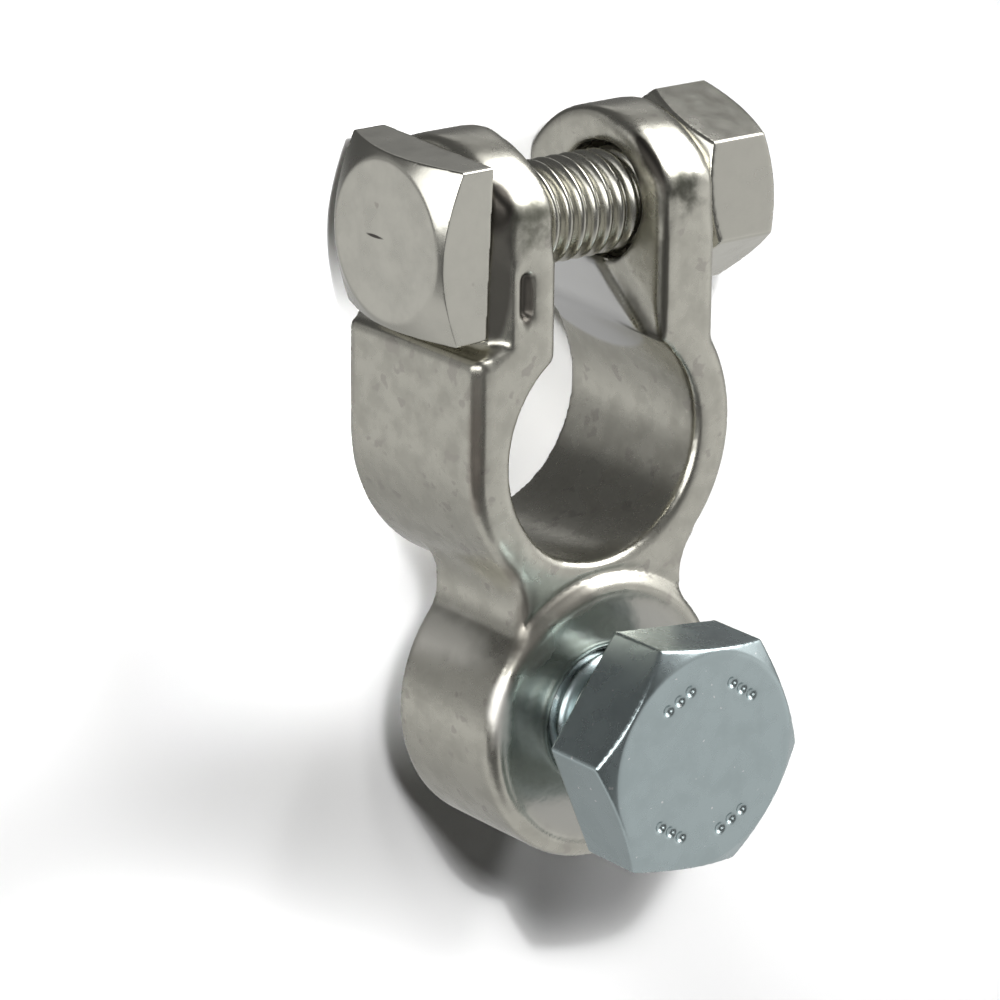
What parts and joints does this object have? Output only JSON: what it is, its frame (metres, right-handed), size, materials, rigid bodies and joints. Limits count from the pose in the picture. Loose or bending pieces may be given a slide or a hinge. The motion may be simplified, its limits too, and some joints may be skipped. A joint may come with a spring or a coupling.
{
  "type": "battery terminal clamp",
  "caption": "Slit-ring battery post clamp with a square-headed pinch bolt and nut, and a round lug with a hex bolt for the cable eye.",
  "frame": {"origin": "centre of the post bore on the plane of the ring's underside", "axes": "+Z along the post bore towards the lug bolt's head, +Y from the bore towards the ears, +X along the pinch bolt towards its nut"},
  "size_m": [0.0326, 0.0561, 0.0275],
  "materials": {
    "plated_brass": "tin plated, satin with bright edges",
    "plated_steel": "nickel plated, half gloss",
    "zinc_steel": "blue zinc plated, satin"
  },
  "bodies": {
    "clamp_body": {"clamp_body": "plated_brass"},
    "pinch_bolt": {"pinch_bolt": "plated_steel"},
    "pinch_nut": {"pinch_nut": "plated_steel"},
    "lug_bolt": {"lug_bolt": "zinc_steel"}
  },
  "joints": [
    {"name": "nut_turn", "type": "hinge", "parent": "clamp_body", "child": "pinch_nut", "pos_m": [0.0103, 0.0164, 0.0083], "axis": [1, 0, 0], "range_deg": [0, 1800]},
    {"name": "pinch_bolt_slide", "type": "slide", "parent": "clamp_body", "child": "pinch_bolt", "axis": [1, 0, 0], "range_m": [-0.00626, 0]},
    {"name": "lug_bolt_slide", "type": "slide", "parent": "clamp_body", "child": "lug_bolt", "axis": [0, 0, 1], "range_m": [-0.0047, 0.008]}
  ],
  "couplings": [
    {"joint": "pinch_bolt_slide", "follows": "nut_turn", "m_per_rad": -0.00019894}
  ]
}
